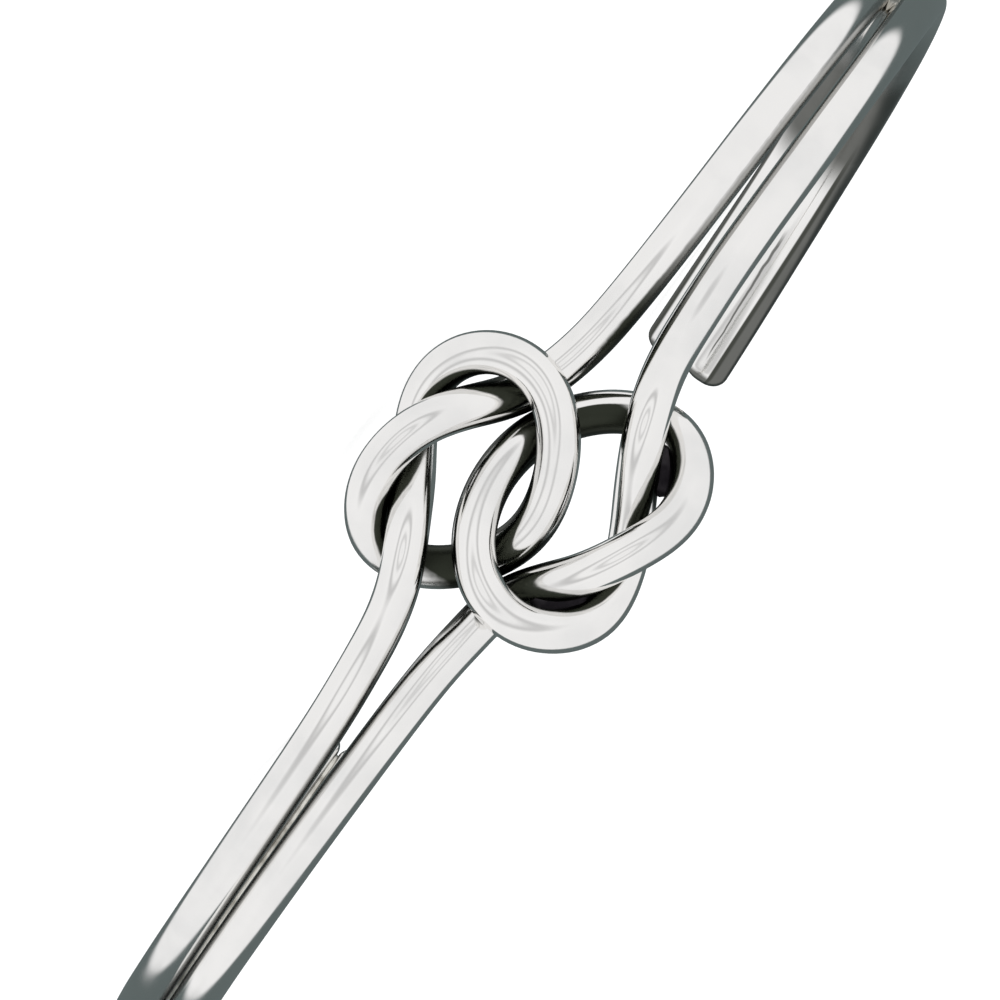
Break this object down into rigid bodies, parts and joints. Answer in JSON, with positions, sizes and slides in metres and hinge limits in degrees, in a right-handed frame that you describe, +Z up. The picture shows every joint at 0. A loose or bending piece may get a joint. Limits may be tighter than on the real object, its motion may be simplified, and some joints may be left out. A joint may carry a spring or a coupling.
{
  "type": "knot cuff bracelet",
  "caption": "Open oval silver cuff of paired round wires soldered side by side, with two interlocked overhand knots tied in the wires at the front.",
  "frame": {"origin": "middle of the bounding box, on the surface that the cuff rests on", "axes": "+Z up, +X along the band across the wrist, the knot at -Y and the opening at +Y"},
  "size_m": [0.0626, 0.0516, 0.0146],
  "materials": {
    "silver": "polished sterling silver, darker in the knot's recesses and at the solder"
  },
  "bodies": {
    "root": {"knot_cuff": "silver"}
  },
  "joints": []
}
